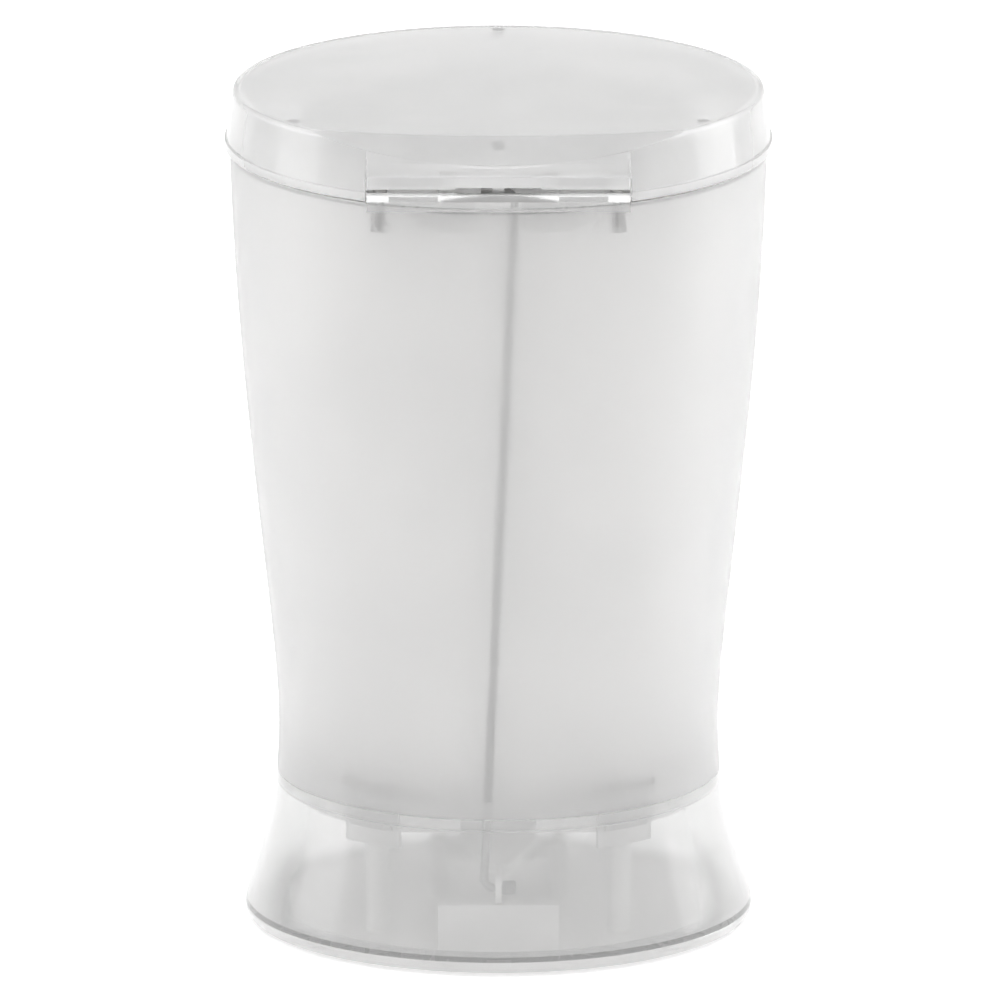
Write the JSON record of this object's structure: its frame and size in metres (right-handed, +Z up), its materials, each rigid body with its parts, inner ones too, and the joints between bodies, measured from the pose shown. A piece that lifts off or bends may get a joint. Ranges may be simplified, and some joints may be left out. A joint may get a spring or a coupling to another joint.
{
  "type": "pedal bin",
  "caption": "Round pedal bin with a flared translucent body, separate foot, hinged lid, bent-wire push rod, pedal lever and inner bucket.",
  "frame": {"origin": "centre of the foot ring's underside, on the floor and on the body's axis", "axes": "+Z up along the body's axis, -Y towards the pedal at the front, +Y towards the lid hinge at the rear"},
  "size_m": [0.2186, 0.2437, 0.341],
  "materials": {
    "frosted_shell": "frosted translucent",
    "clear_foot": "glossy translucent",
    "clear_lid": "glossy translucent",
    "white_plastic": "satin",
    "rod_steel": "drawn wire",
    "screw_steel": "zinc plated",
    "grey_plastic": "moulded",
    "soft_rubber": "matt soft plastic"
  },
  "bodies": {
    "body": {"upper_body": "frosted_shell", "base_skirt": "clear_foot", "hinge_bracket": "clear_foot", "bracket_screws": "screw_steel", "hinge_pin_left": "rod_steel", "hinge_pin_right": "rod_steel", "lever_axle": "rod_steel", "axle_cap_left": "white_plastic", "axle_cap_right": "white_plastic", "axle_cap_screws": "screw_steel", "base_plate": "white_plastic", "skirt_screws": "screw_steel", "floor_screws": "screw_steel", "foot_ring": "soft_rubber", "inner_floor": "white_plastic", "inner_bucket": "white_plastic"},
    "lid": {"lid_shell": "clear_lid", "lid_bumper_front": "soft_rubber", "lid_bumper_left": "soft_rubber", "lid_bumper_right": "soft_rubber"},
    "rod": {"push_rod": "rod_steel", "rod_cap": "grey_plastic"},
    "pedal": {"pedal_lever": "white_plastic", "pedal_tread": "soft_rubber"}
  },
  "joints": [
    {"name": "lid_hinge", "type": "hinge", "parent": "body", "child": "lid", "pos_m": [0, 0.1081, 0.328], "axis": [-1, 0, 0], "range_deg": [0, 75]},
    {"name": "rod_eye", "type": "hinge", "parent": "lid", "child": "rod", "pos_m": [0, 0.094, 0.3206], "axis": [-1, 0, 0], "range_deg": [-74.5, 0]},
    {"name": "pedal_pivot", "type": "hinge", "parent": "body", "child": "pedal", "pos_m": [0, -0.015, 0.024], "axis": [1, 0, 0], "range_deg": [0, 12.2]}
  ],
  "couplings": [
    {"joint": "rod_eye", "follows": "lid_hinge", "ratio": -0.9884},
    {"joint": "pedal_pivot", "follows": "lid_hinge", "ratio": 0.1606}
  ]
}
